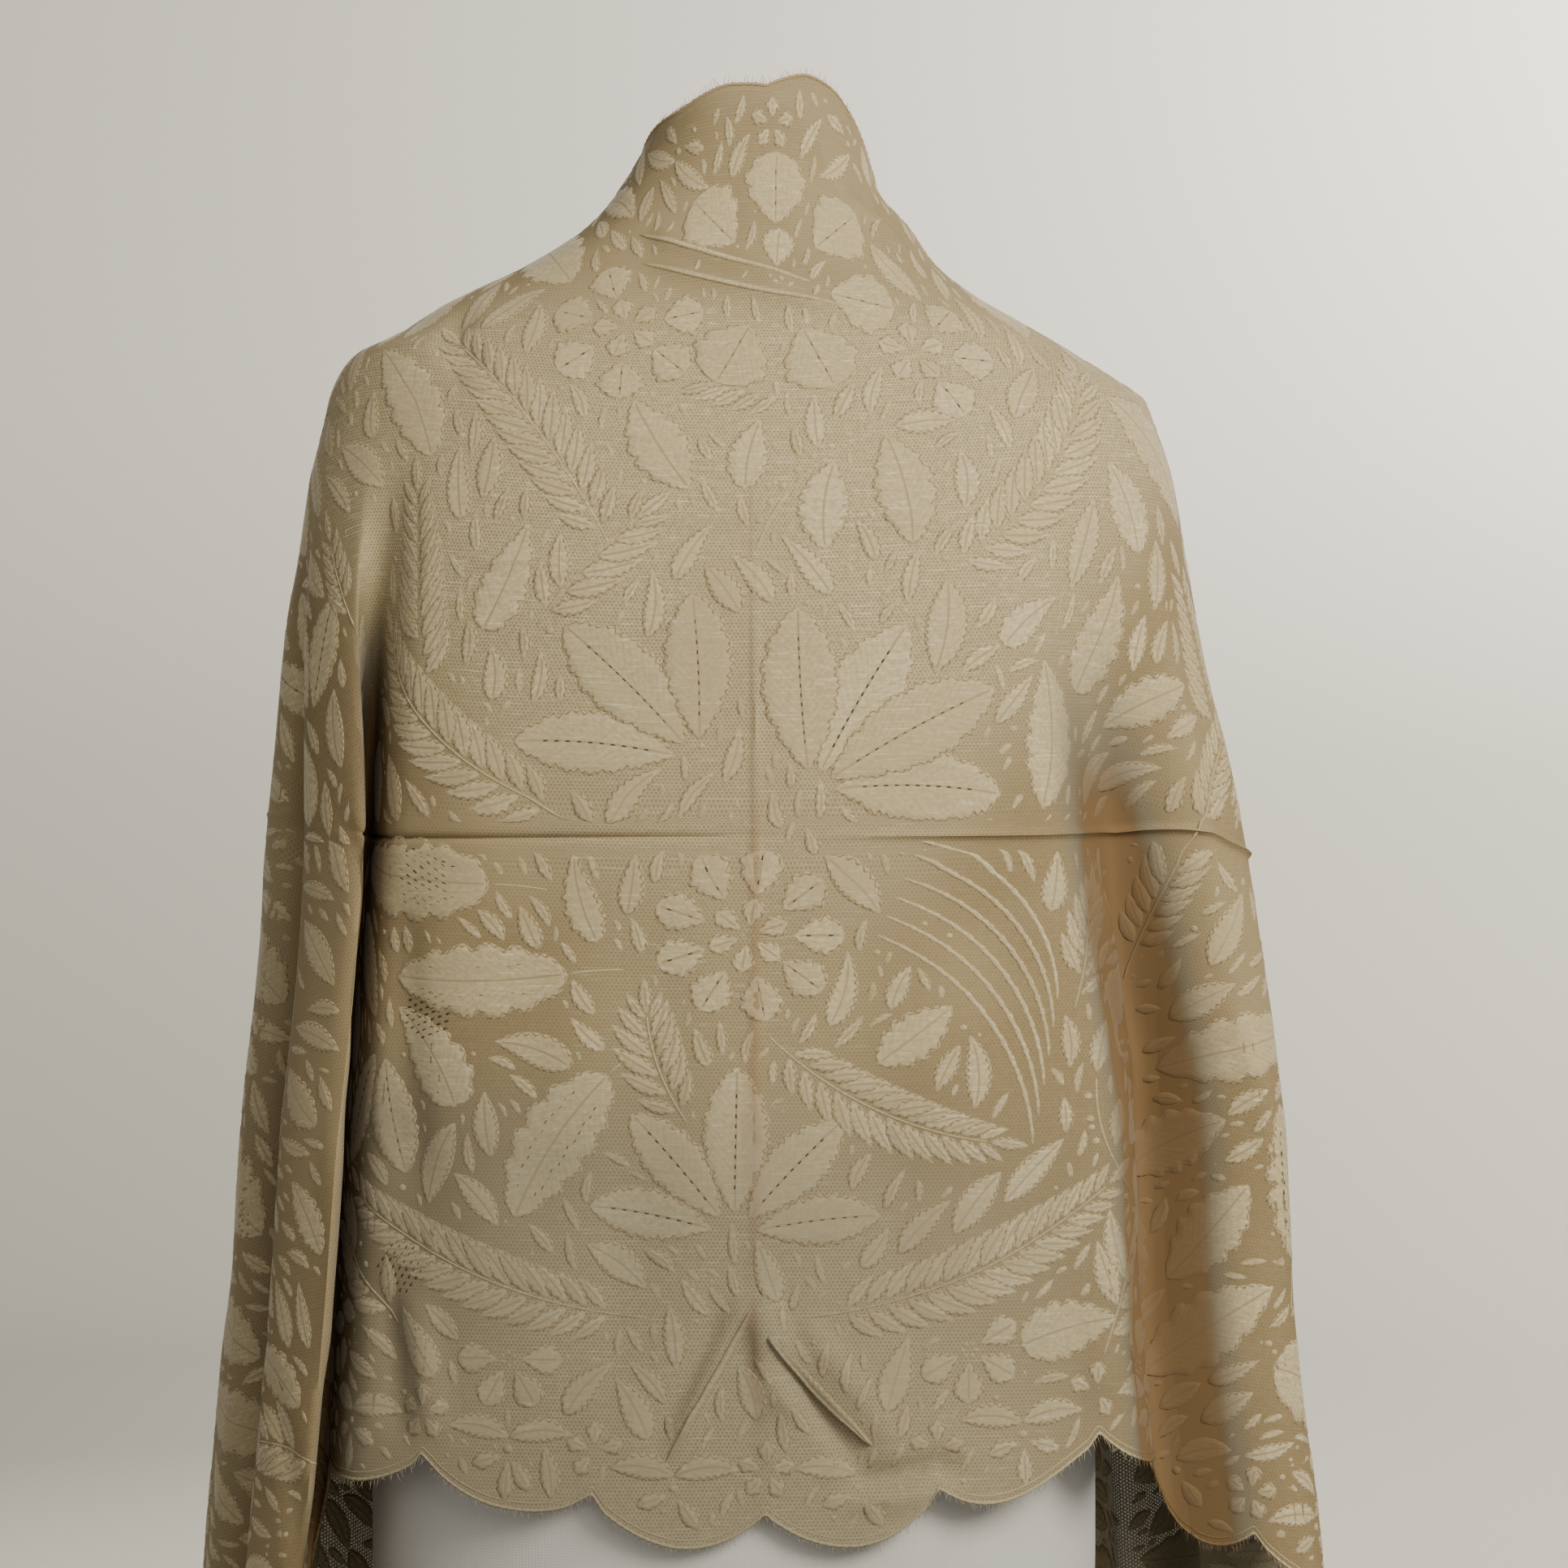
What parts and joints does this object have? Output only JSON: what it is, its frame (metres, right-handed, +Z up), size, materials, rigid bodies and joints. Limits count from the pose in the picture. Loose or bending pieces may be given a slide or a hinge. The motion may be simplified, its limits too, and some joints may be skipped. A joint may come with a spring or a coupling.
{
  "type": "lace shawl on a limbless dress form with a stand",
  "caption": "Openwork lace shawl with scalloped edges, draped over the shoulders of a limbless dress form on a pole and round base, open at the front.",
  "frame": {"origin": "centre of the underside of the round base, on the pole's axis", "axes": "+Z up along the pole, -Y towards the side that the back of the form faces, +X to the right of someone who looks at that back"},
  "size_m": [0.5611, 0.33, 1.4949],
  "materials": {
    "lace": "ecru machine lace, soft sheen, semi-open net ground",
    "form_cover": "white jersey, matte",
    "stand_metal": "satin metal"
  },
  "bodies": {
    "root": {"shawl_collar": "lace", "shawl_back": "lace", "shawl_left_pleat": "lace", "shawl_left_arm_drape": "lace", "shawl_left_front": "lace", "shawl_right_wing": "lace", "shawl_right_arm_drape": "lace", "shawl_right_front": "lace", "dress_form": "form_cover", "stand_pole": "stand_metal", "stand_base": "stand_metal"}
  },
  "joints": []
}
